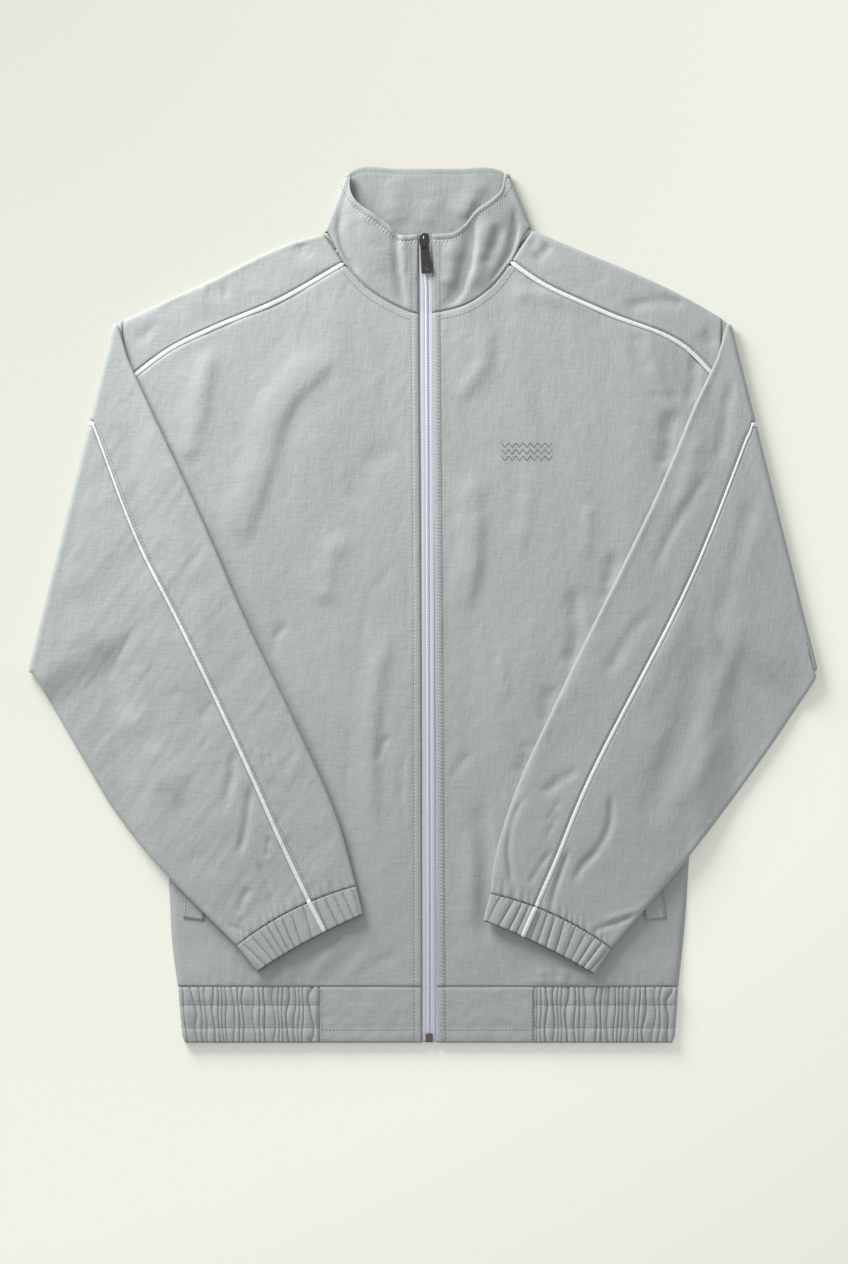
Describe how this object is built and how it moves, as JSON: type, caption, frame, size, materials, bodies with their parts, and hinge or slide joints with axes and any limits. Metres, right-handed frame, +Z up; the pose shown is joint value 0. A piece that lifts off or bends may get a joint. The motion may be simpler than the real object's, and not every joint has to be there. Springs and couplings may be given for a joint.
{
  "type": "track jacket laid flat",
  "caption": "Zip-up track jacket with stand-up collar, piped shoulders and sleeves, elastic cuffs and hem, laid flat with its sleeves folded over the front.",
  "frame": {"origin": "middle of the footprint, on the surface the jacket lies on", "axes": "+X across the garment to the picture's right, +Y towards the collar, +Z up from the surface, out of the front"},
  "size_m": [0.6702, 0.7439, 0.0153],
  "materials": {
    "cloth": "matt crinkled nylon, plain weave, grey-green",
    "piping": "smooth white satin cord edge",
    "tape": "woven zip tape, pale lavender grey",
    "zip_metal": "polished gunmetal",
    "stop_metal": "dulled, dark"
  },
  "bodies": {
    "garment": {"back": "cloth", "front_left": "cloth", "yoke_left": "cloth", "sleeve_strip_left": "cloth", "sleeve_under_left": "cloth", "cuff_left": "cloth", "cuff_piping_left": "piping", "piping_front_left": "piping", "piping_back_left": "piping", "hem_plain_left": "cloth", "zip_tape_left": "tape", "welt_left": "cloth", "front_right": "cloth", "yoke_right": "cloth", "sleeve_strip_right": "cloth", "sleeve_under_right": "cloth", "cuff_right": "cloth", "cuff_piping_right": "piping", "piping_front_right": "piping", "piping_back_right": "piping", "hem_plain_right": "cloth", "zip_tape_right": "tape", "welt_right": "cloth", "collar": "cloth", "hem_elastic": "cloth", "zip_slider": "zip_metal", "zip_stop": "stop_metal"},
    "pull": {"zip_pull": "zip_metal"}
  },
  "joints": [
    {"name": "pull_hinge", "type": "hinge", "parent": "garment", "child": "pull", "pos_m": [0.0011, 0.30649, 0.01229], "axis": [-0.9945, -0.1043, -0.0077], "range_deg": [0, 125]}
  ]
}
